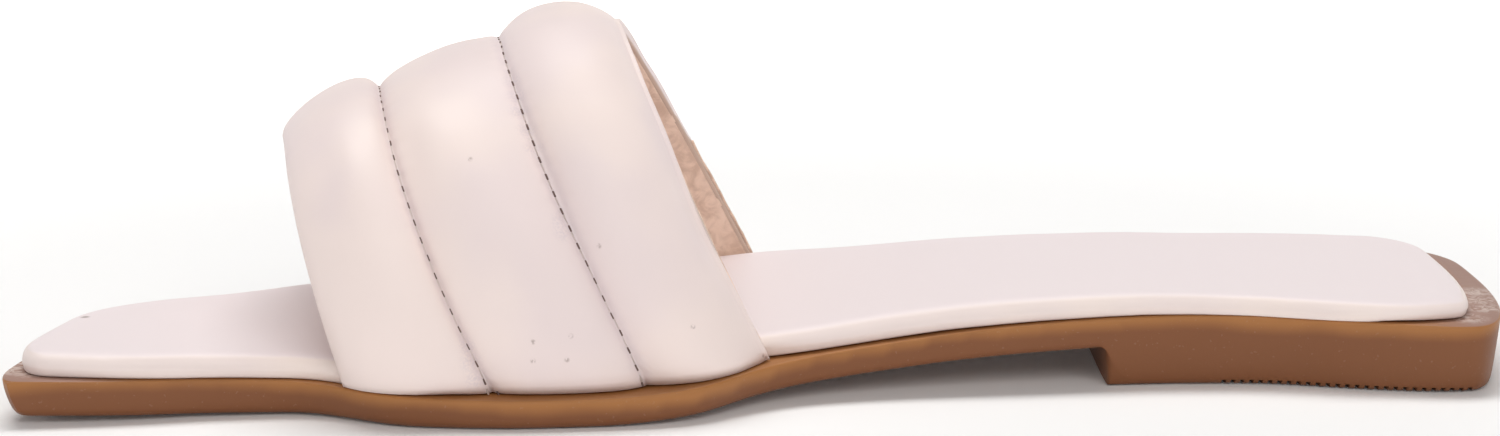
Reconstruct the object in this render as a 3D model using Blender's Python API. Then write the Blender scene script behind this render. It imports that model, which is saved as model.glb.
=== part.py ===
"""Flat slide sandal for the right foot, built standing on the ground, in metres.

The heel points along +X, the toe along -X, the inner (medial) side along -Y and up is +Z.
Three pieces: a moulded outsole with a low heel block, a wrapped footbed set in from its lip,
and one wide padded band in three sewn channels, lasted in between footbed and outsole.

A station is a share of the outsole's length, 0 at the back of the heel and 1 at the toe.
"""

import math

import bmesh
import bpy
import numpy as np

# Outsole, seen from above
LENGTH = 0.2588            # back of the heel to the forward toe corner
TOE_SLANT = 0.0150         # the outer toe corner lies this much further back
TOE_WIDTH = 0.0436
BALL_WIDTH = 0.0910
WAIST_WIDTH = 0.0575
HEEL_WIDTH = 0.0620
TOE_CORNER_INNER = (0.0040, 0.0100)   # corners: how far they reach along and across the shoe
TOE_CORNER_OUTER = (0.0080, 0.0080)
HEEL_CORNER_INNER = (0.0100, 0.0370)
HEEL_CORNER_OUTER = (0.0150, 0.0170)

# Outsole, seen from the side
PLATE_THICKNESS = 0.0056
SHANK_LIFT = 0.0070        # underside of the plate over the ground, at the heel's front face
TOE_SPRING = 0.0014
BREAST_STATION = 0.268     # front face of the heel block
BREAST_DRAFT = 0.0006
WALL_DRAFT = math.radians(8.0)
LIP_ROUND = 0.0007
TREAD_ROUND = 0.0018

# Footbed
FOOTBED_THICKNESS = 0.0038
FOOTBED_SOFT_EDGE = 0.0035  # how far in the rounding of its edge reaches
FOOTBED_CORNER_INNER = (0.0060, 0.0090)
FOOTBED_CORNER_OUTER = (0.0180, 0.0140)
LEDGE = 0.0030             # lip of the outsole left showing round the footbed

# Band
INSTEP_HEIGHT = 0.0511     # inside the band, over the footing on the outsole
BAND_SEAT = 0.0075         # lip of the outsole to the inside of the band
BAND_WALL = 0.0024         # skin, padding and lining pressed together at a seam
BAND_PUFF = 0.0052         # what the padding adds in the middle of a channel
BAND_EDGE = 0.0010         # flat strip at the turned back edge
NOSE_ROLL = math.radians(34.0)
ARCH_ROUNDNESS = 2.15      # 2 is an ellipse, more is squarer at the shoulders
CROWN_SHARE = 0.455        # where the crown lies between the inner and the outer foot of the arch
MARGIN_WIDTH = 0.0070      # lasted under the footbed
MARGIN_THICKNESS = 0.0010
BALL_STATION = 0.66        # where the foot is widest and the band's height is measured

CLEARANCE = 0.0003         # between neighbouring pieces
BREAST_CLEAR = 4           # times its draft kept free of other rungs at the heel's front face

# Outline of the lip: station, the width that the row follows, share inside, share outside
OUTLINE = (
    (0.00, HEEL_WIDTH, 0.500, 0.548),
    (0.05, HEEL_WIDTH, 0.494, 0.561),
    (0.10, HEEL_WIDTH, 0.445, 0.568),
    (0.17, HEEL_WIDTH, 0.344, 0.569),
    (0.25, WAIST_WIDTH, 0.343, 0.631),
    (0.33, WAIST_WIDTH, 0.354, 0.656),
    (0.40, WAIST_WIDTH, 0.364, 0.713),
    (0.45, WAIST_WIDTH, 0.386, 0.783),
    (0.485, BALL_WIDTH, 0.266, 0.536),
    (0.515, BALL_WIDTH, 0.314, 0.564),
    (0.55, BALL_WIDTH, 0.389, 0.582),
    (0.60, BALL_WIDTH, 0.410, 0.589),
    (0.66, BALL_WIDTH, 0.411, 0.575),
    (0.71, BALL_WIDTH, 0.391, 0.549),
    (0.745, BALL_WIDTH, 0.369, 0.518),
    (0.77, BALL_WIDTH, 0.319, 0.491),
    (0.80, BALL_WIDTH, 0.256, 0.451),
    (0.86, BALL_WIDTH, 0.255, 0.360),
    (0.92, TOE_WIDTH, 0.571, 0.548),
    (0.96, TOE_WIDTH, 0.575, 0.462),
    (1.00, TOE_WIDTH, 0.580, 0.413),
)

# Underside of the plate: station, the lift that the row follows, share of it
UNDERSIDE = (
    (0.00, SHANK_LIFT, 0.92),
    (0.15, SHANK_LIFT, 0.98),
    (0.23, SHANK_LIFT, 1.01),
    (0.29, SHANK_LIFT, 0.95),
    (0.35, SHANK_LIFT, 0.84),
    (0.42, SHANK_LIFT, 0.60),
    (0.50, SHANK_LIFT, 0.31),
    (0.57, SHANK_LIFT, 0.08),
    (0.61, SHANK_LIFT, 0.00),
    (0.71, TOE_SPRING, 0.00),
    (0.81, TOE_SPRING, 0.16),
    (0.88, TOE_SPRING, 0.42),
    (1.00, TOE_SPRING, 1.00),
)

# Thickness of the plate: station, share of it
THICKNESS = (
    (0.00, 0.99),
    (0.23, 1.00),
    (0.35, 0.99),
    (0.50, 0.93),
    (0.66, 0.93),
    (0.81, 1.10),
    (0.88, 1.15),
    (1.00, 1.20),
)

# Footbed: station, lip left showing inside and outside as shares of the ledge, share of its thickness
FOOTBED = (
    (0.00, 2.25, 2.25, 0.82),
    (0.05, 1.05, 1.45, 0.82),
    (0.10, 0.55, 1.05, 0.84),
    (0.17, 0.30, 0.85, 0.88),
    (0.25, 0.30, 0.83, 0.94),
    (0.35, 0.40, 0.83, 1.00),
    (0.45, 0.60, 0.83, 1.00),
    (0.80, 0.30, 0.70, 1.00),
    (0.92, 0.40, 0.60, 1.00),
    (1.00, 1.10, 0.50, 1.00),
)

# Edge of the footbed, bottom to top: share of its thickness, share of its soft edge
FOOTBED_EDGE = (
    (0.00, 0.12),
    (0.14, 0.02),
    (0.42, 0.00),
    (0.68, 0.07),
    (0.87, 0.25),
    (0.97, 0.58),
    (1.00, 1.00),
)

# Lines across the band. Stations of the inner foot, crown and outer foot, crown height as a share
# of the instep height, seats as shares of the band's seat, and how early each side leans over
LINES = (
    # inner, crown, outer, height, seat in, seat out, lean in, lean out
    (0.766, 0.796, 0.752, 0.665, 0.46, 0.50, 1.12, 1.08),
    (0.680, 0.741, 0.659, 0.830, 0.92, 0.93, 1.42, 1.12),
    (0.583, 0.6640, 0.560, 0.982, 1.02, 0.93, 1.20, 1.05),
    (0.503, 0.5835, 0.476, 1.030, 0.70, 0.56, 1.20, 0.92),
)
SEAMS = (0.0, 0.31, 0.66, 1.0)  # where those lines lie across the band
FULLNESS = (0.42, 0.55, 0.85)   # of each channel's section, smaller is blunter
CHANNEL_SQUARENESS = 2.4        # of every channel's section, 2 is round
NOSE_ROLL_REACH = 0.5           # share of the first channel over which its nose is rolled forward

# Height of the padding along the arch, as shares of the puff: share of the arch, for each channel
PUFFS = (
    (0.00, 0.48, 0.48, 0.48),
    (0.08, 0.76, 0.70, 0.74),
    (0.25, 0.90, 0.58, 0.88),
    (0.50, 0.86, 0.26, 0.94),
    (0.75, 0.90, 0.58, 0.88),
    (0.92, 0.76, 0.70, 0.74),
    (1.00, 0.48, 0.48, 0.48),
)

CHANNEL_STEPS = 8
ARCH_STEPS = 28
LONG_STEPS = 34
CORNER_STEPS = 8
ROUNDING_STEPS = 3


def through(rows, column, at):
    """Smooth curve through one column of a table, without overshoot, read at the given stations."""
    x = np.array([row[0] for row in rows])
    y = np.array([row[column] for row in rows])
    run = np.diff(x)
    rise = np.diff(y) / run
    slope = np.zeros(len(x))
    for i in range(1, len(x) - 1):
        if rise[i - 1] * rise[i] > 0:
            before = 2 * run[i] + run[i - 1]
            after = run[i] + 2 * run[i - 1]
            slope[i] = (before + after) / (before / rise[i - 1] + after / rise[i])
    slope[0], slope[-1] = rise[0], rise[-1]
    at = np.clip(np.asarray(at, dtype=float), x[0], x[-1])
    i = np.clip(np.searchsorted(x, at) - 1, 0, len(run) - 1)
    t = (at - x[i]) / run[i]
    ends = y[i] * (1 + 2 * t) * (1 - t) ** 2 + y[i + 1] * t * t * (3 - 2 * t)
    return ends + run[i] * (slope[i] * t * (1 - t) ** 2 - slope[i + 1] * t * t * (1 - t))


def underside(station):
    rows = [(s, size * share) for s, size, share in UNDERSIDE]
    return through(rows, 1, station)


def sole_top(station):
    return underside(station) + PLATE_THICKNESS * through(THICKNESS, 1, station)


def tread(station):
    """Lowest surface of the outsole: the ground under the heel block, else the plate's underside."""
    return np.where(np.asarray(station) < BREAST_STATION, 0.0, underside(station))


def rung_stations():
    """Stations from heel to toe, close together round the corners and at the heel's front face."""
    turns = [1 - math.cos(math.pi / 2 * i / CORNER_STEPS) for i in range(CORNER_STEPS + 1)]
    heel = [HEEL_CORNER_OUTER[0] * turn for turn in turns]
    toe = [FOOTBED_CORNER_OUTER[0] * turn for turn in turns]
    first = heel[-1] / LENGTH
    last = 1 - toe[-1] / LENGTH
    half = BREAST_DRAFT / LENGTH / 2
    middle = [first + (last - first) * i / LONG_STEPS for i in range(1, LONG_STEPS)]
    middle = [s for s in middle if abs(s - BREAST_STATION) > 2 * BREAST_CLEAR * half]
    breast = [BREAST_STATION - half, BREAST_STATION + half]
    stations = [d / LENGTH for d in heel] + middle + breast + [1 - d / LENGTH for d in toe]
    return np.array(sorted(stations))


def along(station, inner, margin_heel=0.0, margin_toe=0.0):
    """X of a station on one side; the outer side ends at its own toe corner, further back."""
    back = LENGTH / 2 - margin_heel
    front = -LENGTH / 2 + margin_toe + (0.0 if inner else TOE_SLANT)
    return back + (front - back) * np.asarray(station, dtype=float)


def half_width(station, inner):
    """Lip of the outsole from the long axis, before its corners are rounded."""
    rows = [(s, size * (a if inner else b)) for s, size, a, b in OUTLINE]
    return through(rows, 1, station)


def pulled_in(distance, corner):
    """How far a corner pulls the edge in, at a distance from its end: a quarter ellipse."""
    turn = np.clip(1 - distance / corner[0], 0, 1)
    return corner[1] * (1 - np.sqrt(1 - turn * turn))


def inset_corner(corner, margin):
    """Corner of an outline that lies a margin further in; it keeps at least half its reach."""
    return tuple(max(reach - margin, reach / 2) for reach in corner)


def side(station, inner, margin, heel_corner, toe_corner, limit=None):
    """One side of an outline that lies a margin inside the lip, as x and y columns."""
    x = along(station, inner, margin[0], margin[-1])
    edge = half_width(station, inner)
    slope = np.gradient(edge, along(station, inner))
    edge = edge - margin * np.sqrt(1 + slope * slope)
    if limit is not None:
        edge = np.minimum(edge, limit(x, inner))
    at_heel = pulled_in(x[0] - x, heel_corner)
    at_toe = pulled_in(x - x[-1], toe_corner)
    slant = TOE_SLANT / TOE_WIDTH
    x = x + at_toe * (slant if inner else -slant)
    edge = edge - at_heel - at_toe
    return np.stack([x, -edge if inner else edge], axis=1)


def ring(flat_inner, flat_outer, height_inner, height_outer):
    """Closed loop from two sides: along the inner one and back along the outer one."""
    inner = np.column_stack([flat_inner, height_inner])
    outer = np.column_stack([flat_outer, height_outer])
    return np.vstack([inner, outer[::-1]])


def solid(name, rings, material):
    """Closed body from loops laid after each other; the first and last are closed by rungs."""
    mesh = bpy.data.meshes.new(name)
    work = bmesh.new()
    loops = [[work.verts.new(point) for point in loop] for loop in rings]
    count = len(loops[0])
    for lower, upper in zip(loops, loops[1:]):
        for i in range(count):
            j = (i + 1) % count
            work.faces.new((lower[i], lower[j], upper[j], upper[i]))
    for loop in (loops[0], loops[-1]):
        for i in range(count // 2 - 1):
            work.faces.new((loop[i], loop[i + 1], loop[count - 2 - i], loop[count - 1 - i]))
    bmesh.ops.recalc_face_normals(work, faces=work.faces)
    work.to_mesh(mesh)
    work.free()
    mesh.materials.append(material)
    piece = bpy.data.objects.new(name, mesh)
    mesh.shade_smooth()
    mesh.set_sharp_from_angle(angle=math.radians(40))
    return piece


def outsole_rings():
    """Loops up the side wall: rounded at the tread, drafted outwards, rounded at the lip."""
    stations = rung_stations()
    low = tread(stations)
    high = sole_top(stations)
    levels = []
    for i in range(ROUNDING_STEPS + 1):
        a = math.pi / 2 * i / ROUNDING_STEPS
        levels.append((low + TREAD_ROUND * (1 - math.cos(a)), TREAD_ROUND * (1 - math.sin(a))))
    for i in range(ROUNDING_STEPS + 1):
        a = math.pi / 2 * i / ROUNDING_STEPS
        levels.append((high - LIP_ROUND * (1 - math.sin(a)), LIP_ROUND * (1 - math.cos(a))))
    rings = []
    for height, rounding in levels:
        margin = (high - height) * math.tan(WALL_DRAFT) + rounding
        flat = []
        for inner in (True, False):
            heel_corner = inset_corner(HEEL_CORNER_INNER if inner else HEEL_CORNER_OUTER, margin[0])
            toe_corner = inset_corner(TOE_CORNER_INNER if inner else TOE_CORNER_OUTER, margin[-1])
            flat.append(side(stations, inner, margin, heel_corner, toe_corner))
        rings.append(ring(flat[0], flat[1], height, height))
    return rings


def band_value(across, column):
    """One column of the band's lines, read across the band from its front to its back edge."""
    rows = [(seam,) + line for seam, line in zip(SEAMS, LINES)]
    return through(rows, column + 1, across)


def station_at(x, inner):
    """Station of an x on one side of the lip."""
    back, front = along(0.0, inner), along(1.0, inner)
    return (x - back) / (front - back)


def foot_line(across, inner):
    """Foot of the band's inside on one side: x, distance from the long axis, height."""
    x = LENGTH * (0.5 - band_value(across, 0 if inner else 2))
    station = station_at(x, inner)
    seat = BAND_SEAT * band_value(across, 4 if inner else 5)
    return x, half_width(station, inner) - seat, sole_top(station) + CLEARANCE


def band_limit(x, inner):
    """How far out the footbed may reach at each x, to stay clear of the band's inside.

    The band leans forward and inward as it rises, so it is read at the footing and again over
    the top of the footbed.
    """
    clear = np.full(len(x), BALL_WIDTH)
    ease = LENGTH / LONG_STEPS
    for rise in (0.0, FOOTBED_THICKNESS, 2 * FOOTBED_THICKNESS):
        wall = np.array([wall_at(place, inner, rise) for place in across_steps()[0]])
        beside = (x > wall[0, 0] - ease) & (x < wall[-1, 0] + ease)
        reach = np.interp(x, wall[:, 0], np.abs(wall[:, 1])) - CLEARANCE
        clear = np.where(beside, np.minimum(clear, reach), clear)
    return clear


def footbed_rings():
    """Loops up the soft edge of the footbed, from its underside to its flat top."""
    stations = rung_stations()
    stations = stations[np.abs(stations - BREAST_STATION) > BREAST_DRAFT / LENGTH]
    base = sole_top(stations) + CLEARANCE
    thick = FOOTBED_THICKNESS * through(FOOTBED, 3, stations)
    rings = []
    for height_share, inset_share in FOOTBED_EDGE:
        inset = FOOTBED_SOFT_EDGE * inset_share
        height = base + thick * height_share
        flat = []
        for inner in (True, False):
            margin = LEDGE * through(FOOTBED, 1 if inner else 2, stations) + inset
            heel_corner = inset_corner(HEEL_CORNER_INNER if inner else HEEL_CORNER_OUTER, margin[0])
            toe_corner = inset_corner(FOOTBED_CORNER_INNER if inner else FOOTBED_CORNER_OUTER, inset)
            flat.append(side(stations, inner, margin, heel_corner, toe_corner,
                             limit=lambda x, s, more=inset: band_limit(x, s) - more))
        rings.append(ring(flat[0], flat[1], height, height))
    return rings


def across_steps():
    """Places across the band, closer together beside the seams, and the puff's share at each."""
    places = []
    shape = []
    for channel, fullness in enumerate(FULLNESS):
        start, end = SEAMS[channel], SEAMS[channel + 1]
        if channel == 2:
            end -= BAND_EDGE / (LENGTH * (LINES[0][0] - LINES[-1][0]))
        for i in range(CHANNEL_STEPS + (channel == 2)):
            share = 0.5 - 0.5 * math.cos(math.pi * i / CHANNEL_STEPS)
            places.append(start + (end - start) * share)
            shape.append(max(1 - abs(2 * share - 1) ** CHANNEL_SQUARENESS, 0) ** fullness)
    places.append(1.0)
    shape.append(0.0)
    return np.array(places), np.array(shape)


def crown(across):
    """Highest point of the band's inside at one place across it."""
    reach_in = float(foot_line(across, True)[1])
    reach_out = float(foot_line(across, False)[1])
    x = LENGTH * (0.5 - float(band_value(across, 1)))
    z = float(sole_top(BALL_STATION)) + INSTEP_HEIGHT * float(band_value(across, 3))
    return x, -reach_in + (reach_in + reach_out) * CROWN_SHARE, z


def arch_point(across, inner, up, wide):
    """Point of the band's inside, by its share of the rise and of the spread of its side."""
    x, y, z = (float(v) for v in foot_line(across, inner))
    top_x, top_y, top_z = crown(across)
    lean = float(band_value(across, 6 if inner else 7))
    foot_y = -y if inner else y
    return (x + (top_x - x) * (1 - (1 - up) ** lean), top_y + (foot_y - top_y) * wide, z + (top_z - z) * up)


def wall_at(across, inner, rise):
    """Point of the band's inside at a height over its footing."""
    up = rise / (crown(across)[2] - float(foot_line(across, inner)[2]))
    wide = (1 - up ** ARCH_ROUNDNESS) ** (1 / ARCH_ROUNDNESS)
    return arch_point(across, inner, up, wide)


def arch_path(across):
    """Inside of the band at one place across it, from the inner foot over the crown."""
    points = []
    for angle in np.linspace(0, math.pi, ARCH_STEPS + 1):
        up = max(math.sin(angle), 0) ** (2 / ARCH_ROUNDNESS)
        wide = abs(math.cos(angle)) ** (2 / ARCH_ROUNDNESS)
        points.append(arch_point(across, angle <= math.pi / 2, up, wide))
    return np.array(points)


def band_rings():
    places, shape = across_steps()
    inside = np.array([arch_path(place) for place in places])
    along_arch = np.gradient(inside, axis=1)
    over_band = np.gradient(inside, axis=0)
    outward = np.cross(over_band, along_arch)
    outward /= np.linalg.norm(outward, axis=2, keepdims=True)
    share = np.linspace(0, 1, ARCH_STEPS + 1)
    rings = []
    for row, (place, puff) in enumerate(zip(places, shape)):
        channel = 0 if place < SEAMS[1] else 1 if place < SEAMS[2] else 2
        thick = BAND_WALL + BAND_PUFF * puff * through(PUFFS, channel + 1, share)
        tilt = NOSE_ROLL * max(1 - place / (NOSE_ROLL_REACH * SEAMS[1]), 0)
        forward = -over_band[row] / np.linalg.norm(over_band[row], axis=1, keepdims=True)
        grow = outward[row] * math.cos(tilt) + forward * math.sin(tilt)
        grow[0, 2] = grow[-1, 2] = 0.0
        outside = inside[row] + grow * thick[:, None]
        rings.append(with_margins(place, inside[row], outside))
    return rings


def with_margins(across, inside, outside):
    """Loop of one band section, with the thin margins that run in under the footbed."""
    thick = np.array([0.0, 0.0, MARGIN_THICKNESS])
    for inner in (True, False):
        foot = inside[0] if inner else inside[-1]
        inwards = MARGIN_WIDTH if inner else -MARGIN_WIDTH
        tip = foot + np.array([0.0, inwards, 0.0])
        low = wall_at(across, inner, BAND_WALL)
        if inner:
            above = [tip + thick, foot + thick, low] + list(inside[1:-1])
            below = [tip, foot] + list(outside)
        else:
            above += [low, foot + thick, tip + thick]
            below += [foot, tip]
    return np.array(above + below[::-1])


def margin_cutter(inner):
    """Room for one margin under the footbed, a clearance larger than the margin all round."""
    rings = []
    turn = 1.0 if inner else -1.0
    for across in across_steps()[0]:
        x, y, z = (float(v) for v in foot_line(across, inner))
        if across == 0:
            x -= CLEARANCE
        if across == 1:
            x += CLEARANCE
        far = -turn * (y + 2 * CLEARANCE)
        near = -turn * (y - MARGIN_WIDTH - CLEARANCE)
        top = z + MARGIN_THICKNESS + CLEARANCE
        low = z - 2 * CLEARANCE
        rings.append(np.array([(x, far, low), (x, near, low), (x, near, top), (x, far, top)]))
    return rings


def colour(name, rgb, roughness):
    material = bpy.data.materials.new(name)
    material.use_nodes = True
    shader = material.node_tree.nodes["Principled BSDF"]
    shader.inputs["Base Color"].default_value = (*rgb, 1.0)
    shader.inputs["Roughness"].default_value = roughness
    shader.inputs["Metallic"].default_value = 0.0
    return material


def gum_rubber():
    return colour("gum_rubber", (0.235, 0.105, 0.047), 0.55)


def smooth_blush():
    return colour("smooth_blush", (0.83, 0.72, 0.67), 0.38)


def footbed_wrap():
    return colour("footbed_wrap", (0.82, 0.71, 0.66), 0.42)


def make_outsole(parts):
    piece = solid("outsole", outsole_rings(), gum_rubber())
    parts.objects.link(piece)
    return piece


def make_footbed(parts, cutters):
    piece = solid("footbed", footbed_rings(), footbed_wrap())
    parts.objects.link(piece)
    for inner in (True, False):
        name = "margin_room_inner" if inner else "margin_room_outer"
        cutter = solid(name, margin_cutter(inner), footbed_wrap())
        cutter.hide_render = True
        cutter.display_type = "WIRE"
        cutters.objects.link(cutter)
        cut = piece.modifiers.new(name, "BOOLEAN")
        cut.operation = "DIFFERENCE"
        cut.object = cutter
    return piece


def make_upper_band(parts):
    piece = solid("upper_band", band_rings(), smooth_blush())
    parts.objects.link(piece)
    return piece


def centre_on_ground(pieces, cutters):
    """Move everything so that the origin is under the middle of the whole shoe, on the ground."""
    corners = np.array([tuple(v.co) for piece in pieces for v in piece.data.vertices])
    middle = (corners.min(axis=0) + corners.max(axis=0)) / 2
    for piece in list(pieces) + list(cutters):
        for vertex in piece.data.vertices:
            vertex.co.x -= middle[0]
            vertex.co.y -= middle[1]


def main():
    for item in list(bpy.data.objects):
        bpy.data.objects.remove(item, do_unlink=True)
    parts = bpy.data.collections.new("flat_sandal")
    cutters = bpy.data.collections.new("cutters")
    bpy.context.scene.collection.children.link(parts)
    bpy.context.scene.collection.children.link(cutters)
    pieces = [make_outsole(parts), make_footbed(parts, cutters), make_upper_band(parts)]
    centre_on_ground(pieces, cutters.objects)


main()
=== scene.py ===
# %% [markdown]
# # A flat slide sandal, dressed over its solids
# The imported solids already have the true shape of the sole, the footbed and the band. This lesson
# keeps those shapes, rounds them off, and adds what a solid can't carry: the seams with their
# stitches, the lining, the fine tread, and the finish of every surface. Everything is in metres,
# with the heel along +X, the inner side of the foot along -Y, and up along +Z.

# %% Load the frame
import math

import bmesh
import bpy
import numpy as np
from mathutils import Matrix, Vector, noise
from mathutils.bvhtree import BVHTree


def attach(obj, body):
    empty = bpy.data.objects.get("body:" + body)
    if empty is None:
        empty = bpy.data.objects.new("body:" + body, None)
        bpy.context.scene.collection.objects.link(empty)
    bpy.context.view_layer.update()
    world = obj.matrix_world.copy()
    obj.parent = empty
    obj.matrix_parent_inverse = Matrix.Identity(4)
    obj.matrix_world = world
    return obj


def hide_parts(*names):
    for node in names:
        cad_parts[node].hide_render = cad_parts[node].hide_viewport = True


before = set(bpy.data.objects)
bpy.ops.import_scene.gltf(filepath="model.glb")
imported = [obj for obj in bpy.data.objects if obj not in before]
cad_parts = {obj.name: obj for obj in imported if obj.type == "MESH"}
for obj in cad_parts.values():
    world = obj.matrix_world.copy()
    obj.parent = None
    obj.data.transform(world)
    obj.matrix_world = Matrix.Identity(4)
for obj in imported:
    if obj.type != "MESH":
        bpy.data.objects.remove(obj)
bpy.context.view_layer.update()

MM = 0.001
print("nodes:", sorted(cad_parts))

# %% [markdown]
# ## The camera
# The photograph is taken from the inner side of a right shoe, a little above it, with a long lens.
# The place of the camera was found by fitting the outline of the sole and the heights of the band,
# so the camera is set by its angle, its distance and the point that it looks at.

# %% Camera
AIM = Vector((-1.72, -8.10, 27.1)) * MM
AZIMUTH = math.radians(-6.43)
ELEVATION = math.radians(11.94)
DISTANCE = 788 * MM
PHOTO_SIZE = (1500, 436)
FOCAL_PIXELS = 4598

backwards = Vector((math.sin(AZIMUTH) * math.cos(ELEVATION), -math.cos(AZIMUTH) * math.cos(ELEVATION),
                    math.sin(ELEVATION)))
bpy.ops.object.camera_add(location=AIM + DISTANCE * backwards)
camera = bpy.context.object
camera.name = "camera"
camera.rotation_euler = (-backwards).to_track_quat("-Z", "Y").to_euler()
camera.data.sensor_width = 36
camera.data.lens = FOCAL_PIXELS / PHOTO_SIZE[0] * camera.data.sensor_width
bpy.context.scene.camera = camera
bpy.context.view_layer.update()
print("lens:", round(camera.data.lens, 1), "mm")


def seen_at(tree, column, row):
    """Point and normal of a surface where a pixel of the photograph shows it."""
    away = Vector((column - PHOTO_SIZE[0] / 2, PHOTO_SIZE[1] / 2 - row, -FOCAL_PIXELS)).normalized()
    point, normal, _, _ = tree.ray_cast(camera.location, camera.matrix_world.to_3x3() @ away)
    return point, normal


# %% [markdown]
# ## Working on one piece at a time
# A Blender operator acts on whatever is selected, so each step starts by selecting one piece and
# nothing else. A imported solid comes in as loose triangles: its copy is welded, and pairs of
# triangles become quads again, which subdivide much more smoothly.

# %% Helpers for selecting and copying
def only(piece):
    bpy.ops.object.select_all(action="DESELECT")
    piece.select_set(True)
    bpy.context.view_layer.objects.active = piece


def in_edit_mode(piece, *steps):
    only(piece)
    bpy.ops.object.mode_set(mode="EDIT")
    bpy.ops.mesh.select_all(action="SELECT")
    for step in steps:
        step()
    bpy.ops.object.mode_set(mode="OBJECT")


def welded_copy(node, name):
    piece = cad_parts[node].copy()
    piece.data = piece.data.copy()
    piece.name = name
    piece.parent = None
    for note in list(piece.keys()):
        del piece[note]
    bpy.context.scene.collection.objects.link(piece)
    only(piece)
    bpy.ops.mesh.customdata_custom_splitnormals_clear()
    in_edit_mode(piece, lambda: bpy.ops.mesh.remove_doubles(threshold=0.01 * MM),
                 lambda: bpy.ops.mesh.tris_convert_to_quads(face_threshold=math.radians(70),
                                                           shape_threshold=math.radians(70)))
    return piece


# %% Helpers for finishing a shape
ROUNDING_LEVELS = 2
REAL_EDGE = math.radians(50)
FAR_AWAY = 1.0


def apply_modifier(piece, kind, **settings):
    only(piece)
    modifier = piece.modifiers.new(kind.lower(), kind)
    for key, value in settings.items():
        setattr(modifier, key, value)
    bpy.ops.object.modifier_apply(modifier=modifier.name)


def subdivided(piece, also=()):
    """Round a piece off, but keep its real edges, and the chosen edges as tight as they are given."""
    work = bmesh.new()
    work.from_mesh(piece.data)
    mark = work.edges.layers.float.new("crease_edge")
    chosen = {tuple(sorted(pair)): value for pair, value in also}
    for edge in work.edges:
        if edge.is_manifold and edge.calc_face_angle(0) > REAL_EDGE:
            edge[mark] = 1.0
        key = tuple(sorted(v.index for v in edge.verts))
        edge[mark] = chosen.get(key, edge[mark])
    work.to_mesh(piece.data)
    work.free()
    apply_modifier(piece, "SUBSURF", levels=ROUNDING_LEVELS, render_levels=ROUNDING_LEVELS)
    bpy.ops.object.shade_smooth()


def points_of(piece, what="co"):
    values = np.empty(len(piece.data.vertices) * 3)
    piece.data.vertices.foreach_get(what, values)
    return values.reshape(-1, 3)


def put_points(piece, points):
    piece.data.vertices.foreach_set("co", points.ravel())
    piece.data.update()


def select_points(piece, wanted):
    """Go into edit mode with only these points selected."""
    only(piece)
    bpy.ops.object.mode_set(mode="EDIT")
    bpy.ops.mesh.select_mode(type="VERT")
    bpy.ops.mesh.select_all(action="DESELECT")
    bpy.ops.object.mode_set(mode="OBJECT")
    piece.data.vertices.foreach_set("select", np.asarray(wanted, dtype=bool))
    bpy.ops.object.mode_set(mode="EDIT")


def surface_of(piece):
    return BVHTree.FromPolygons([v.co for v in piece.data.vertices],
                                [p.vertices for p in piece.data.polygons])


def store(piece, name, values):
    attribute = piece.data.attributes.new(name, "FLOAT", "POINT")
    attribute.data.foreach_set("value", np.asarray(values, dtype=np.float32))


def soft_step(values, start, end):
    t = np.clip((values - start) / (end - start), 0, 1)
    return t * t * (3 - 2 * t)


# %% [markdown]
# ## Finding the seams and the rims
# The two seams of the band are the lines where its solid is creased inward, and its rims are the
# lines where it turns a corner. They are read off the welded copy, so the stitches and the lining
# follow the solid even if its measures change.

# %% The band's own lines
FOOT_LEVEL = 8.0 * MM
GROOVE_ANGLES = (-180, -25)
RIM_ANGLES = (50, 180)
SHORTEST_LINE = 12


def creased_lines(piece, least, most, above):
    """Chains of edges whose faces meet at an angle in a range, from toe to heel.

    Each starts at its inner end. The edges stay in the mesh's own order, as a list and not a set,
    so that every run lays the stitches in the same places.
    """
    work = bmesh.new()
    work.from_mesh(piece.data)
    work.verts.ensure_lookup_table()
    wanted = [edge for edge in work.edges
              if math.radians(least) < edge.calc_face_angle_signed(0) < math.radians(most)
              and min(v.co.z for v in edge.verts) > above]
    neighbours = {}
    for edge in wanted:
        a, b = edge.verts
        neighbours.setdefault(a.index, []).append(b.index)
        neighbours.setdefault(b.index, []).append(a.index)
    lines = []
    left = set(neighbours)
    ends = sorted((v for v in neighbours if len(neighbours[v]) == 1), key=lambda v: work.verts[v].co.y)
    for start in ends:
        if start not in left:
            continue
        line = [start]
        left.discard(start)
        while True:
            ahead = [v for v in neighbours[line[-1]] if v in left]
            if not ahead:
                break
            line.append(ahead[0])
            left.discard(ahead[0])
        lines.append(line)
    lines = [line for line in lines if len(line) > SHORTEST_LINE]
    lines.sort(key=lambda line: sum(work.verts[v].co.x for v in line) / len(line))
    shaped = [(line, np.array([tuple(work.verts[v].co) for v in line])) for line in lines]
    work.free()
    return shaped


band = welded_copy("upper_band", "band_skin")
grooves = creased_lines(band, *GROOVE_ANGLES, FOOT_LEVEL)
rims = creased_lines(band, *RIM_ANGLES, FOOT_LEVEL)
seams = grooves[:2]
print("grooves at x (mm):", [round(line[:, 0].mean() / MM, 1) for _, line in grooves])
print("rims at x (mm):", [round(line[:, 0].mean() / MM, 1) for _, line in rims])

# %% Helpers for following a line
FINE_PITCH = 0.5 * MM


def spaced(line, pitch):
    """Points at an even pitch along a line, with the direction of the line at each."""
    steps = np.linalg.norm(np.diff(line, axis=0), axis=1)
    gone = np.concatenate([[0], np.cumsum(steps)])
    at = np.arange(0, gone[-1], pitch)
    points = np.stack([np.interp(at, gone, line[:, i]) for i in range(3)], axis=1)
    ahead = np.gradient(points, axis=0)
    return points, ahead / np.linalg.norm(ahead, axis=1, keepdims=True)


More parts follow.
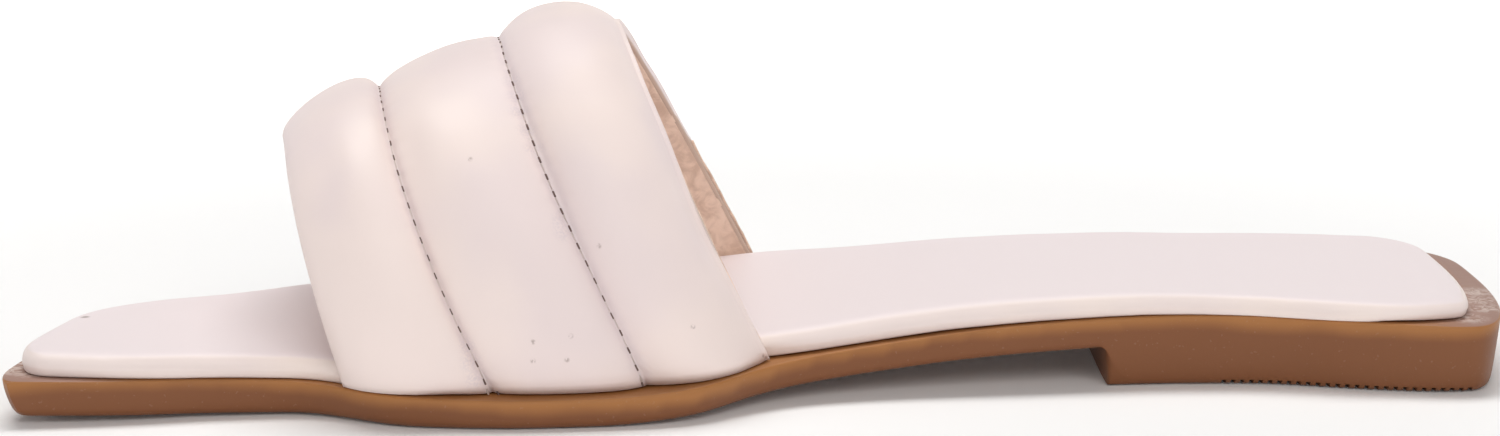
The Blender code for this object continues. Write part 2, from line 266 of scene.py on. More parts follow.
def drawn_out(line, reach):
    """The same line, carried on straight at both of its ends."""
    first = line[0] - line[2]
    last = line[-1] - line[-3]
    return np.concatenate([[line[0] + reach * first / np.linalg.norm(first)], line,
                           [line[-1] + reach * last / np.linalg.norm(last)]])


def nearest_on(line, points):
    """Distance of each point to a line, and how far along it the nearest place is."""
    fine, _ = spaced(line, FINE_PITCH)
    best = np.full(len(points), FAR_AWAY)
    place = np.zeros(len(points))
    for i, spot in enumerate(fine):
        gap = np.linalg.norm(points - spot, axis=1)
        closer = gap < best
        best[closer] = gap[closer]
        place[closer] = i * FINE_PITCH
    return best, place


# %% [markdown]
# ## The band
# The real band is a smooth coated skin over soft foam, sewn through in two lines so that it stands
# up in three channels. A cloth simulation could blow the channels up, but it would lose the exact
# outline of the photograph, so the true solid is rounded off instead and then shaped: the
# foot of the band rolls in over the ledge of the sole, the skin pulls a little at each stitch,
# and a few soft hollows and ridges lie where the photograph shows them.

# %% Round off the band
SEAM_TIGHTNESS = 0.55
BACK_GROOVE_TIGHTNESS = 0.35
NOSE_TIGHTNESS = 0.0
HEM_TIGHTNESS = 0.45


def tightened(lines, tightness):
    """The edges along some lines, each with how tight a crease it keeps, from 0 to 1."""
    return [((a, b), tightness) for line, _ in lines for a, b in zip(line, line[1:])]


coarse_band = band.data.copy()
subdivided(band, also=(tightened(seams, SEAM_TIGHTNESS) + tightened(grooves[2:], BACK_GROOVE_TIGHTNESS)
                       + tightened(rims[:2], NOSE_TIGHTNESS) + tightened(rims[2:], HEM_TIGHTNESS)))
print("band:", len(band.data.polygons), "faces")

# %% Where every point of the band lies
ARCH_MIDDLE = np.array([-0.035, 0.0, 0.010])
SEAM_RUN_OUT = 7.0 * MM
START_ABOVE = Vector((0, 0, 50 * MM))


def outward_side(points, normals):
    """1 on the outside of the band, 0 on its inside, seen from the middle of the arch."""
    away = points - ARCH_MIDDLE
    away[:, 0] = 0
    return (np.einsum("ij,ij->i", away, normals) > 0).astype(float)


band_points = points_of(band)
band_normals = points_of(band, "normal")
seam_gap = np.full(len(band_points), FAR_AWAY)
seam_place = np.zeros(len(band_points))
for _, line in seams:
    gap, place = nearest_on(drawn_out(line, SEAM_RUN_OUT), band_points)
    closer = gap < seam_gap
    seam_gap[closer] = gap[closer]
    seam_place[closer] = place[closer]
outside = outward_side(band_points, band_normals)
sole_surface = surface_of(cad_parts["outsole"])


def over_the_ledge(points):
    """Height over the top of the outsole, straight below or beside."""
    heights = np.empty(len(points))
    for i, point in enumerate(points):
        hit = sole_surface.ray_cast(Vector(point) + START_ABOVE, Vector((0, 0, -1)))[0]
        if hit is None:
            hit = sole_surface.find_nearest(Vector(point))[0]
        heights[i] = point[2] - hit.z
    return heights


ledge_gap = over_the_ledge(band_points)
print("seam gap up to", round(float(seam_gap.max()) / MM, 1), "mm")

# %% Roll the foot of the band in
ROLL_HEIGHT = 3.2 * MM
ROLL_DEPTH = 1.7 * MM
low = np.clip(1 - ledge_gap / ROLL_HEIGHT, 0, 1)
pull = ROLL_DEPTH * (1 - np.sqrt(1 - low ** 2)) * outside
shaped_band = band_points.copy()
shaped_band[:, 1] -= np.sign(band_points[:, 1]) * pull
print("foot rolled in by up to", round(float(pull.max()) / MM, 2), "mm")

# %% [markdown]
# The hollows and ridges are a short table: a pixel of the photograph where each one is seen, the
# way it runs, its length and width, and how deep it is. A hollow has a negative height. Sculpting
# by hand could do the same, but a table can be read and changed.

# %% Soft hollows and ridges
FOLD_REACH = 12 * MM
FOLDS = (
    # column, row, slope in the picture (degrees), half length mm, half width mm, height mm
    (322, 205, 75, 14, 4.5, -0.70),
    (352, 170, 70, 12, 4.0, 0.50),
    (415, 175, 62, 12, 3.0, -0.55),
    (452, 150, 60, 16, 5.0, 0.45),
    (548, 172, 58, 15, 4.5, -0.60),
    (498, 215, 60, 17, 4.5, 0.50),
    (575, 330, 35, 10, 3.5, -0.35),
    (640, 165, 62, 16, 4.5, 0.45),
    (690, 205, 60, 14, 3.5, -0.60),
    (618, 250, 62, 14, 3.5, 0.35),
    (430, 330, 68, 12, 3.5, -0.40),
)
band_tree = surface_of(band)
right = camera.matrix_world.to_3x3() @ Vector((1, 0, 0))
up = camera.matrix_world.to_3x3() @ Vector((0, 1, 0))
lift = np.zeros(len(band_points))
for column, row, slope, half_length, half_width, height in FOLDS:
    spot, normal = seen_at(band_tree, column, row)
    run = math.cos(math.radians(slope)) * right - math.sin(math.radians(slope)) * up
    run = (run - run.dot(normal) * normal).normalized()
    wide = normal.cross(run)
    away = band_points - np.array(spot)
    along = away @ np.array(run) / (half_length * MM)
    across = away @ np.array(wide) / (half_width * MM)
    deep = away @ np.array(normal) / FOLD_REACH
    lift += height * MM * np.exp(-along ** 2 - across ** 2 - deep ** 4)
print("folds move the skin by (mm):", [round(float(v) / MM, 2) for v in (lift.min(), lift.max())])

# %% [markdown]
# Foam is never quite even, so the skin over it has broad, very low waves. They fade out at the
# seams and at the foot of the band, where the skin is pulled tight.

# %% A slight unevenness of the foam under the skin
FOAM_HEIGHT = 0.36 * MM
FOAM_WAVES = 55
FOAM_RIPPLES = 130

foam = np.array([noise.noise(Vector(p) * FOAM_WAVES) + 0.5 * noise.noise(Vector(p) * FOAM_RIPPLES)
                 for p in band_points])
calm = soft_step(seam_gap, 0.5 * MM, 4 * MM) * soft_step(ledge_gap, 1 * MM, 6 * MM)
lift += FOAM_HEIGHT * foam * calm
shaped_band += band_normals * (lift * outside)[:, None]
put_points(band, shaped_band)
store(band, "seam_gap", seam_gap)
store(band, "seam_place", seam_place)
store(band, "ledge_gap", ledge_gap)
# Where the inside of the band, towards the heel, gets painted shade on the turned-in hem.
store(band, "shaded_inner_side", (1 - outside) * soft_step(band_points[:, 0], -50 * MM, -40 * MM))
print("band box:", [round(v / MM, 1) for v in points_of(band).max(axis=0)])

# %% [markdown]
# ## The lining
# Inside, a thin beige lining is glued to the foam and sewn at the same seams. It wrinkles, and it
# stops just short of the back rim, where the outer skin is turned in as a narrow hem. At the front
# it stops further in, because the outer skin rolls round the nose there. The inner
# faces of the welded copy are kept, the strip along each rim is taken off, and the rest is
# wrinkled and given the thickness of a lining.

# %% Cut the lining out of the inside of the band
LINING_THICKNESS = 0.35 * MM
HEM_SHOWN = 0.5 * MM
FRONT_HEM = 6.0 * MM
FOOT_HEM = 1.2 * MM

lining = band.copy()
lining.data = coarse_band
lining.name = "band_lining"
bpy.context.scene.collection.objects.link(lining)
only(lining)
bpy.ops.mesh.customdata_custom_splitnormals_clear()
apply_modifier(lining, "SUBSURF", levels=ROUNDING_LEVELS, render_levels=ROUNDING_LEVELS)
points = points_of(lining)
normals = points_of(lining, "normal")
inside = outward_side(points, normals) < 0.5
lowest = over_the_ledge(points)
front_gap = np.minimum.reduce([nearest_on(line, points)[0] for _, line in rims[:2]])
back_gap = np.minimum.reduce([nearest_on(line, points)[0] for _, line in rims[2:]])
drop = (~inside) | (front_gap < FRONT_HEM) | (back_gap < HEM_SHOWN) | (lowest < FOOT_HEM)
select_points(lining, drop)
bpy.ops.mesh.delete(type="VERT")
bpy.ops.object.mode_set(mode="OBJECT")
print("lining:", len(lining.data.polygons), "faces")

# %% Wrinkle it and give it a thickness
LINING_LIFT = 0.30 * MM
WRINKLE_HEIGHT = 0.28 * MM
WRINKLES = (260, 170, 170)

points = points_of(lining)
normals = points_of(lining, "normal")
wrinkle = np.array([noise.turbulence(Vector(p * WRINKLES), 3, False) for p in points])
wrinkle = (wrinkle - wrinkle.mean()) / np.abs(wrinkle - wrinkle.mean()).max()
put_points(lining, points + normals * (LINING_LIFT + WRINKLE_HEIGHT * wrinkle)[:, None])
apply_modifier(lining, "SOLIDIFY", thickness=LINING_THICKNESS, offset=-1)
bpy.ops.object.shade_smooth()
print("lining wrinkled by up to", round(WRINKLE_HEIGHT / MM, 2), "mm either way")

# %% [markdown]
# ## The stitches
# Each seam is a line of machine stitches with a pitch a little over 3 mm. In the photograph the
# thread has the colour of the skin, and what shows is the small dark gap at the needle hole between
# two stitches. One stitch and one gap are modelled, and then copied along both seams and laid into
# the groove. The seams are drawn out a little at both ends, so that they reach the foot of the band.

# %% One stitch and one dark bar of painted shade for the needle hole
STITCH_PITCH = 3.2 * MM
THREAD = 0.42 * MM
THREAD_FLATNESS = 0.6
NEEDLE_GAP = 1.2 * MM
GAP_WIDTH = 0.44 * MM
GAP_FLATNESS = 0.5
STITCH_SUNK = 0.08 * MM
GAP_SUNK = -0.02 * MM


def rounded_bar(name, length, thick, flat):
    """A short bar with rounded ends, lying along X."""
    bpy.ops.object.select_all(action="DESELECT")
    bpy.ops.mesh.primitive_cylinder_add(vertices=8, radius=thick / 2, depth=length,
                                        rotation=(0, math.pi / 2, 0))
    bar = bpy.context.object
    bar.name = name
    bpy.ops.object.transform_apply(location=False, rotation=True, scale=True)
    bpy.ops.object.mode_set(mode="EDIT")
    bpy.ops.mesh.select_all(action="DESELECT")
    bpy.ops.object.mode_set(mode="OBJECT")
    for face in bar.data.polygons:
        face.select = abs(face.normal.x) > 0.9
    bpy.ops.object.mode_set(mode="EDIT")
    bpy.ops.mesh.select_mode(type="FACE")
    bpy.ops.mesh.bevel(offset=thick * 0.38, segments=2)
    bpy.ops.mesh.select_all(action="SELECT")
    bpy.ops.transform.resize(value=(1, 1, flat))
    bpy.ops.mesh.normals_make_consistent(inside=False)
    bpy.ops.object.mode_set(mode="OBJECT")
    bpy.ops.object.shade_smooth()
    return bar


stitch = rounded_bar("stitch", STITCH_PITCH - NEEDLE_GAP, THREAD, THREAD_FLATNESS)
# The needle hole is a dark bar of painted shade, laid where the hole's shadow shows.
needle_hole_shade = rounded_bar("needle_gap_shade", NEEDLE_GAP, GAP_WIDTH, GAP_FLATNESS)
print("a stitch has", len(stitch.data.polygons), "faces")


# %% Lay them along the seams
def laid_along(model, line, offset, depth, name):
    """Copies of a small piece along a seam, turned with it and sunk into the groove."""
    spots, ahead = spaced(line, STITCH_PITCH)
    tree = surface_of(band)
    copies = []
    for spot, along in zip(spots, ahead):
        place = Vector(spot + along * offset)
        point, normal, _, _ = tree.find_nearest(place)
        along = Vector(along)
        up = (normal - normal.dot(along) * along).normalized()
        turn = Matrix((along, up.cross(along), up)).transposed().to_4x4()
        copy = model.copy()
        copy.data = model.data.copy()
        bpy.context.scene.collection.objects.link(copy)
        copy.data.transform(Matrix.Translation(point - up * depth) @ turn)
        copies.append(copy)
    bpy.ops.object.select_all(action="DESELECT")
    for copy in copies:
        copy.select_set(True)
    bpy.context.view_layer.objects.active = copies[0]
    bpy.ops.object.join()
    joined = bpy.context.object
    joined.name = name
    return joined


seam_pieces = []
hole_shade_pieces = []
for (_, line), where in zip(seams, ("front", "back")):
    line = drawn_out(line, SEAM_RUN_OUT)
    seam_pieces.append(laid_along(stitch, line, STITCH_PITCH / 2, STITCH_SUNK, f"{where}_seam_stitches"))
    hole_shade_pieces.append(laid_along(needle_hole_shade, line, 0.0, GAP_SUNK, f"{where}_seam_hole_shades"))
for model in (stitch, needle_hole_shade):
    bpy.data.objects.remove(model, do_unlink=True)
print("stitches:", [len(piece.data.polygons) for piece in seam_pieces])

# %% [markdown]
# ## The footbed
# A firm board with a thin foam is wrapped in the same coated skin, pulled tight over its soft
# edge. The solid has its shape, so its copy is only rounded off, and the wrap gets the faint
# waves that skin has where it is pulled round a board. The solids keep a small clearance, so the
# sides and the underside of the copy are let out a little, to sit tight on the sole.

# %% Round off the footbed
TOP_WAVES = 0.10 * MM
EDGE_WAVES = 0.14 * MM
SIDES_LET_OUT = 0.35 * MM
UNDERSIDE_LET_OUT = 0.26 * MM

footbed = welded_copy("footbed", "footbed_skin")
subdivided(footbed)
points = points_of(footbed)
normals = points_of(footbed, "normal")
waves = np.array([noise.noise(Vector(p) * 70) for p in points])
edge_waves = np.array([noise.noise(Vector((p[0] * 190, p[1] * 190, 0))) for p in points])
side_on = 1 - np.abs(normals[:, 2])
moved_out = TOP_WAVES * waves + EDGE_WAVES * edge_waves * side_on + SIDES_LET_OUT * side_on
points += normals * moved_out[:, None]
points[:, 2] -= UNDERSIDE_LET_OUT * (normals[:, 2] < -0.3)
put_points(footbed, points)
print("footbed:", len(footbed.data.polygons), "faces")

# %% [markdown]
# ## The outsole
# The sole is moulded in one go from gum rubber: a thin plate, a lip round its top and a low heel
# block. Its copy is rounded off between its real edges. The back of the heel's underside has fine
# grooves, which show as small notches along its lower edge, so they are cut for real.

# %% Round off the outsole
outsole = welded_copy("outsole", "outsole_rubber")
subdivided(outsole)
print("outsole:", len(outsole.data.polygons), "faces")

# %% Cut the fine tread into the back of the heel
TREAD_FROM = 77.5 * MM
TREAD_PITCH = 1.55 * MM
TREAD_GROOVES = 27
GROOVE_WIDTH = 0.75 * MM
GROOVE_DEPTH = 1.0 * MM
CUTTER_LENGTH = 100 * MM

bpy.ops.object.select_all(action="DESELECT")
bpy.ops.mesh.primitive_cube_add(size=1, location=(TREAD_FROM, 0, 0))
grooves_cutter = bpy.context.object
grooves_cutter.scale = (GROOVE_WIDTH, CUTTER_LENGTH, 2 * GROOVE_DEPTH)
bpy.ops.object.transform_apply(location=True, rotation=True, scale=True)
apply_modifier(grooves_cutter, "ARRAY", count=TREAD_GROOVES, use_relative_offset=False,
               use_constant_offset=True, constant_offset_displace=(TREAD_PITCH, 0, 0))
apply_modifier(outsole, "BOOLEAN", operation="DIFFERENCE", solver="EXACT", object=grooves_cutter)
bpy.data.objects.remove(grooves_cutter, do_unlink=True)
only(outsole)
bpy.ops.object.shade_smooth_by_angle(angle=math.radians(35))
print("outsole with its tread:", len(outsole.data.polygons), "faces")

# %% [markdown]
# The gum is painted lighter along its lip, as painted light from above, so each point of the sole
# keeps how far it lies under the lip nearby, for the finish to use. The same measure tucks the front
# wall of the toe in towards the ground, as the moulded sole does.

# %% How far each point of the sole lies under the lip
NEARBY = 7 * MM

points = points_of(outsole)
lip = np.array([tuple(v.co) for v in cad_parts["outsole"].data.vertices])
below = np.empty(len(points))
for i, point in enumerate(points):
    near = np.abs(lip[:, 0] - point[0]) < NEARBY
    below[i] = lip[near, 2].max() - point[2]
store(outsole, "below_lip", below)
print("deepest point under the lip:", round(float(below.max()) / MM, 1), "mm")

# %% Tuck the front wall of the toe in
TOE_TUCK = 1.7 * MM
TUCK_HEIGHT = 7 * MM
TUCK_STARTS = 118 * MM
TUCK_FULL = 128 * MM

tucked = soft_step(-points[:, 0], TUCK_STARTS, TUCK_FULL) * np.clip(below / TUCK_HEIGHT, 0, 1) ** 2
points[:, 0] += TOE_TUCK * tucked
put_points(outsole, points)
print("toe tucked in by up to", round(float((TOE_TUCK * tucked).max()) / MM, 2), "mm")


# %% [markdown]
# ## Finishes
# Each finish is built from a few nodes. What more than one finish uses is made once as a group:
# a fine grain, specks, and a mask of marks round chosen spots. A group gives out only masks and
# heights; the shader stays in the material.

# %% Small helpers for nodes
def node_group(name, inputs, outputs):
    group = bpy.data.node_groups.new(name, "ShaderNodeTree")
    for label, kind, value in inputs:
        socket = group.interface.new_socket(label, in_out="INPUT", socket_type=kind)
        if value is not None:
            socket.default_value = value
    for label in outputs:
        group.interface.new_socket(label, in_out="OUTPUT", socket_type="NodeSocketFloat")
    return group


def add(tree, kind, **settings):
    made = tree.nodes.new(kind)
    for key, value in settings.items():
        setattr(made, key, value)
    return made


def maths(tree, operation, a, b=None, c=None):
    made = add(tree, "ShaderNodeMath", operation=operation)
    for i, value in enumerate((a, b, c)):
        if value is None:
            continue
        if isinstance(value, (int, float)):
            made.inputs[i].default_value = value
        else:
            tree.links.new(value, made.inputs[i])
    return made.outputs[0]


def smooth_range(tree, value, start, end, low=0.0, high=1.0):
    made = add(tree, "ShaderNodeMapRange", interpolation_type="SMOOTHSTEP")
    for i, number in enumerate((start, end, low, high), start=1):
        made.inputs[i].default_value = number
    tree.links.new(value, made.inputs[0])
    return made.outputs[0]


def blended(tree, share, first, second):
    made = add(tree, "ShaderNodeMix", data_type="RGBA")
    for socket, value in ((made.inputs[0], share), (made.inputs[6], first), (made.inputs[7], second)):
        if isinstance(value, (tuple, float)):
            socket.default_value = (*value, 1.0) if isinstance(value, tuple) else value
        else:
            tree.links.new(value, socket)
    return made.outputs[2]


def noise_mask(tree, where, scale, detail=3.0, roughness=0.5, distortion=0.0):
    made = add(tree, "ShaderNodeTexNoise")
    made.inputs["Scale"].default_value = scale
    made.inputs["Detail"].default_value = detail
    made.inputs["Roughness"].default_value = roughness
    made.inputs["Distortion"].default_value = distortion
    tree.links.new(where, made.inputs["Vector"])
    return made.outputs["Fac"]


def attribute_value(tree, name):
    return add(tree, "ShaderNodeAttribute", attribute_name=name).outputs["Fac"]


def part_of(tree, vector, axis):
    """One of the three numbers of a vector."""
    apart = add(tree, "ShaderNodeSeparateXYZ")
    tree.links.new(vector, apart.inputs[0])
    return apart.outputs[axis]


def upward(tree):
    """How far a surface faces up: 1 on a flat top, 0 on a wall."""
    return part_of(tree, add(tree, "ShaderNodeNewGeometry").outputs["Normal"], "Z")


# %% Groups that the finishes share
grain = node_group("fine_grain", [("Where", "NodeSocketVector", None)], ["Height", "Cloud", "Specks"])
entry = add(grain, "NodeGroupInput")
leave = add(grain, "NodeGroupOutput")
fine = noise_mask(grain, entry.outputs[0], 2600, 4.0, 0.6)
skin_waves = noise_mask(grain, entry.outputs[0], 420, 2.0, 0.5)
grain.links.new(maths(grain, "ADD", maths(grain, "MULTIPLY", fine, 0.35), skin_waves), leave.inputs[0])
grain.links.new(noise_mask(grain, entry.outputs[0], 42, 2.0, 0.45), leave.inputs[1])
speck_noise = noise_mask(grain, entry.outputs[0], 1600, 1.0, 0.4)
grain.links.new(smooth_range(grain, speck_noise, 0.70, 0.76), leave.inputs[2])

spots = node_group("mark_near",
                   [("Where", "NodeSocketVector", None), ("Spot", "NodeSocketVector", None),
                    ("Inner", "NodeSocketFloat", 1 * MM), ("Outer", "NodeSocketFloat", 2 * MM)],
                   ["Mask"])
entry = add(spots, "NodeGroupInput")
leave = add(spots, "NodeGroupOutput")
gap = add(spots, "ShaderNodeVectorMath", operation="DISTANCE")
spots.links.new(entry.outputs["Where"], gap.inputs[0])
spots.links.new(entry.outputs["Spot"], gap.inputs[1])
ramp = add(spots, "ShaderNodeMapRange", interpolation_type="SMOOTHSTEP")
spots.links.new(gap.outputs["Value"], ramp.inputs[0])
spots.links.new(entry.outputs["Inner"], ramp.inputs[1])
spots.links.new(entry.outputs["Outer"], ramp.inputs[2])
ramp.inputs[3].default_value = 1.0
ramp.inputs[4].default_value = 0.0
spots.links.new(ramp.outputs[0], leave.inputs[0])
print("groups:", [group.name for group in bpy.data.node_groups])


# %% Starting a finish
def new_finish(name, roughness, coat=0.0, coat_roughness=0.1, specular=0.5, sheen=0.0):
    material = bpy.data.materials.new(name)
    material.use_nodes = True
    tree = material.node_tree
    shader = tree.nodes["Principled BSDF"]
    shader.inputs["Roughness"].default_value = roughness
    shader.inputs["Coat Weight"].default_value = coat
    shader.inputs["Coat Roughness"].default_value = coat_roughness
    shader.inputs["Specular IOR Level"].default_value = specular
    shader.inputs["Sheen Weight"].default_value = sheen
    where = add(tree, "ShaderNodeTexCoord").outputs["Object"]
    texture = add(tree, "ShaderNodeGroup", node_tree=grain)
    tree.links.new(where, texture.inputs[0])
    return material, tree, shader, where, texture


def bumped(tree, shader, height, distance, strength=1.0, after=None):
    bump = add(tree, "ShaderNodeBump")
    bump.inputs["Strength"].default_value = strength
    bump.inputs["Distance"].default_value = distance
    tree.links.new(height, bump.inputs["Height"])
    if after is not None:
        tree.links.new(after, bump.inputs["Normal"])
    tree.links.new(bump.outputs[0], shader.inputs["Normal"])
    return bump.outputs[0]


def marks(tree, where, places, inner, outer):
    """Mask of small round marks at a few places on a surface."""
    total = None
    for place in places:
        mark = add(tree, "ShaderNodeGroup", node_tree=spots)
        tree.links.new(where, mark.inputs["Where"])
        mark.inputs["Spot"].default_value = place
        mark.inputs["Inner"].default_value = inner
        mark.inputs["Outer"].default_value = outer
        total = mark.outputs[0] if total is None else maths(tree, "MAXIMUM", total, mark.outputs[0])
    return total


def places_seen(piece, pixels):
    """The points of a piece that some pixels of the photograph show."""
    tree = surface_of(piece)
    return [seen_at(tree, column, row)[0] for column, row in pixels]


# %% [markdown]
# The coated skin is nearly smooth and has a soft gloss. Its colour drifts between a warm cream and
# a cool blush. Down in the seams it is painted greyer, as painted shade, and the skin puckers beside
# each stitch. The photographed sandal also has a few tiny scuffs and bluish smudges, and a dark
# painted shade sits at the gap where the back foot of the band tucks in. They could be painted in an
# image, but a mask round a chosen place stays sharp at any size, so each mark is placed by the
# pixel where it is seen. The inside of the band towards the heel is painted darker, as painted shade.

# %% Coated skin of the band
CREAM = (0.865, 0.742, 0.704)
BLUSH = (0.815, 0.700, 0.690)
LILAC = (0.640, 0.560, 0.600)
SCUFF_STAIN_AND_SHADE = (0.330, 0.240, 0.220)
HEM_SHADE = (0.600, 0.450, 0.370)
GRAIN_HEIGHT = 0.05 * MM
PUCKER_HEIGHT = 0.10 * MM
# Most of these places are small scuffs; the last two are painted shade at the dark gap where the back foot
# of the band tucks in between footbed and sole.
SCUFFS_AND_GAP_SHADE = ((533, 342), (571, 336), (567, 360), (533, 361), (599, 246), (693, 327), (470, 159), (763, 356),
          (766, 357))
SMUDGES = ((513, 84), (516, 98), (519, 112), (526, 132), (533, 150), (466, 346), (470, 362), (476, 380),
           (561, 222), (563, 231))

skin, tree, shader, where, texture = new_finish("coated_skin", 0.52, coat=0.05, coat_roughness=0.30,
                                                specular=0.42)
base = blended(tree, smooth_range(tree, texture.outputs["Cloud"], 0.35, 0.65), CREAM, BLUSH)
gap = attribute_value(tree, "seam_gap")
place = attribute_value(tree, "seam_place")
grey = noise_mask(tree, where, 500, 3.0, 0.6)
# Painted shade: the skin is painted greyer lilac close to each seam.
seam_shade = maths(tree, "MULTIPLY", smooth_range(tree, gap, 0.4 * MM, 2.2 * MM, 1.0, 0.0), grey)
base = blended(tree, maths(tree, "MULTIPLY", seam_shade, 0.55), base, LILAC)
scuff_and_gap_shade_places = places_seen(band, SCUFFS_AND_GAP_SHADE)
scuffed_and_gap_shaded = maths(tree, "MULTIPLY", marks(tree, where, scuff_and_gap_shade_places, 0.1 * MM, 0.6 * MM),
                smooth_range(tree, noise_mask(tree, where, 1800), 0.40, 0.60))
base = blended(tree, maths(tree, "MULTIPLY", scuffed_and_gap_shaded, 0.65), base, SCUFF_STAIN_AND_SHADE)
smudged = maths(tree, "MULTIPLY", marks(tree, where, places_seen(band, SMUDGES), 0.4 * MM, 2.6 * MM),
                smooth_range(tree, noise_mask(tree, where, 2600, 2.0), 0.35, 0.65))
base = blended(tree, maths(tree, "MULTIPLY", smudged, 0.45), base, LILAC)
# Painted shade: the inside of the band towards the heel, where the turned-in hem shows, is painted darker.
base = blended(tree, attribute_value(tree, "shaded_inner_side"), base, HEM_SHADE)
tree.links.new(base, shader.inputs["Base Color"])
tree.links.new(smooth_range(tree, texture.outputs["Cloud"], 0.3, 0.7, 0.48, 0.58),
               shader.inputs["Roughness"])
turns = maths(tree, "MULTIPLY", place, 2 * math.pi / STITCH_PITCH)
pucker = maths(tree, "MULTIPLY", maths(tree, "COSINE", turns),
               smooth_range(tree, gap, 0.6 * MM, 4.2 * MM, 1.0, 0.0))
soft = bumped(tree, shader, texture.outputs["Height"], GRAIN_HEIGHT, 0.35)
bumped(tree, shader, pucker, PUCKER_HEIGHT, 0.5, after=soft)
print("scuffs at (mm):", [[round(v / MM, 1) for v in place] for place in scuff_and_gap_shade_places])

# %% [markdown]
# The footbed wears the same kind of skin, a little smoother and cooler. Its flat top gets a painted
# sheen, pinker than its rounded side, so the two colours are blended by how far the surface faces up.
# One small brown stain sits at the toe.

# %% Wrap of the footbed
WRAP_SIDE = (0.860, 0.745, 0.690)
WRAP_SIDE_COOL = (0.820, 0.710, 0.680)
WRAP_TOP_PAINTED_SHEEN = (0.860, 0.765, 0.775)
STAINS = ((85, 317),)

wrap, tree, shader, where, texture = new_finish("wrapped_skin", 0.50, coat=0.06, coat_roughness=0.35)
base = blended(tree, smooth_range(tree, texture.outputs["Cloud"], 0.35, 0.65), WRAP_SIDE, WRAP_SIDE_COOL)
# Painted light: faces turned up get the pinker painted sheen of the top.
base = blended(tree, smooth_range(tree, upward(tree), 0.80, 0.99), base, WRAP_TOP_PAINTED_SHEEN)
stain_places = places_seen(footbed, STAINS)
stained = marks(tree, where, stain_places, 0.2 * MM, 1.1 * MM)
base = blended(tree, maths(tree, "MULTIPLY", stained, 0.9), base, SCUFF_STAIN_AND_SHADE)
tree.links.new(base, shader.inputs["Base Color"])
bumped(tree, shader, texture.outputs["Height"], GRAIN_HEIGHT, 0.35)
print("stain at (mm):", [[round(v / MM, 1) for v in place] for place in stain_places])

# %% [markdown]
# The lining is soft and matt, with painted shade in its folds: darker in the hollows, lighter on the
# ridges. The thread is the colour of the skin, with the fine light and dark of its twist. The gaps
# are only meant to read as shadow, so they are dark and have almost no shine.

# %% Lining, thread and needle gaps
LINING_FOLD_SHADE = (0.70, 0.50, 0.39)
LINING_RIDGE_LIT = (0.90, 0.68, 0.55)
THREAD_DARK = (0.78, 0.66, 0.61)
THREAD_LIGHT = (0.88, 0.77, 0.72)
GAP_SHADE_DARK = (0.080, 0.055, 0.052)
GAP_SHADE_LIGHT = (0.260, 0.180, 0.160)

lining_finish, tree, shader, where, texture = new_finish("soft_lining", 0.62, sheen=0.15)
fold_and_shade = noise_mask(tree, where, 330, 5.0, 0.6, 0.6)
# Painted shade in the folds: darker in the hollows of the noise, lighter on its ridges.
base = blended(tree, smooth_range(tree, fold_and_shade, 0.35, 0.65), LINING_FOLD_SHADE, LINING_RIDGE_LIT)
tree.links.new(base, shader.inputs["Base Color"])
bumped(tree, shader, fold_and_shade, 0.4 * MM, 0.7)

thread, tree, shader, where, texture = new_finish("blush_thread", 0.6)
twist = noise_mask(tree, where, 3000)
tree.links.new(blended(tree, twist, THREAD_DARK, THREAD_LIGHT), shader.inputs["Base Color"])
bumped(tree, shader, twist, 0.08 * MM, 0.6)

hole_shade, tree, shader, where, texture = new_finish("needle_shadow", 0.9, specular=0.1)
tree.links.new(blended(tree, noise_mask(tree, where, 1500), GAP_SHADE_DARK, GAP_SHADE_LIGHT),
               shader.inputs["Base Color"])
print("finishes:", [m.name for m in (skin, wrap, lining_finish, thread, hole_shade)])

# %% [markdown]
# Gum rubber is brown. Along the lip it is painted lighter and more orange, as painted light from
# above, and further down the wall it is painted darker, as painted shade. The finish reads that from
# the height under the lip, which the sole keeps at each point. The moulded skin is satin, with a few
# pale specks, and dried cement has left whitish smears on the ledge at the toe and at the back of the
# heel.

# %% Gum rubber of the sole
GUM_DEEP = (0.208, 0.078, 0.030)
GUM_LIT_LIP = (0.370, 0.155, 0.047)
GUM_LEDGE = (0.340, 0.195, 0.150)
CEMENT = (0.78, 0.67, 0.61)
SPECK = (0.45, 0.32, 0.24)
ENDS_FROM = 104 * MM
ENDS_FULL = 120 * MM
SMEARS = ((12, 370), (16, 366), (22, 364), (30, 372), (1478, 300), (1484, 308), (1474, 292), (1466, 318))

gum, tree, shader, where, texture = new_finish("brown_gum", 0.50, coat=0.03, coat_roughness=0.35,
                                               specular=0.32)
under = attribute_value(tree, "below_lip")
cloudy = maths(tree, "MULTIPLY_ADD", maths(tree, "SUBTRACT", texture.outputs["Cloud"], 0.5), 4 * MM, under)
# Painted light along the lip and painted shade lower down: lighter and more orange near the lip, darker
# further under it.
base = blended(tree, smooth_range(tree, cloudy, 0.6 * MM, 3.4 * MM), GUM_LIT_LIP, GUM_DEEP)
flat_top = smooth_range(tree, upward(tree), 0.55, 0.9)
near_end = smooth_range(tree, maths(tree, "ABSOLUTE", part_of(tree, where, "X")), ENDS_FROM, ENDS_FULL)
base = blended(tree, maths(tree, "MULTIPLY", flat_top, near_end), base, GUM_LEDGE)
smear_places = places_seen(outsole, SMEARS)
streaks = noise_mask(tree, where, 620, 5.0, 0.65, 1.2)
cement = maths(tree, "MULTIPLY", marks(tree, where, smear_places, 1 * MM, 5 * MM),
               smooth_range(tree, streaks, 0.40, 0.58))
cement = maths(tree, "MULTIPLY", cement, flat_top)
base = blended(tree, maths(tree, "MULTIPLY", cement, 0.55), base, CEMENT)
base = blended(tree, maths(tree, "MULTIPLY", texture.outputs["Specks"], 0.12), base, SPECK)
tree.links.new(base, shader.inputs["Base Color"])
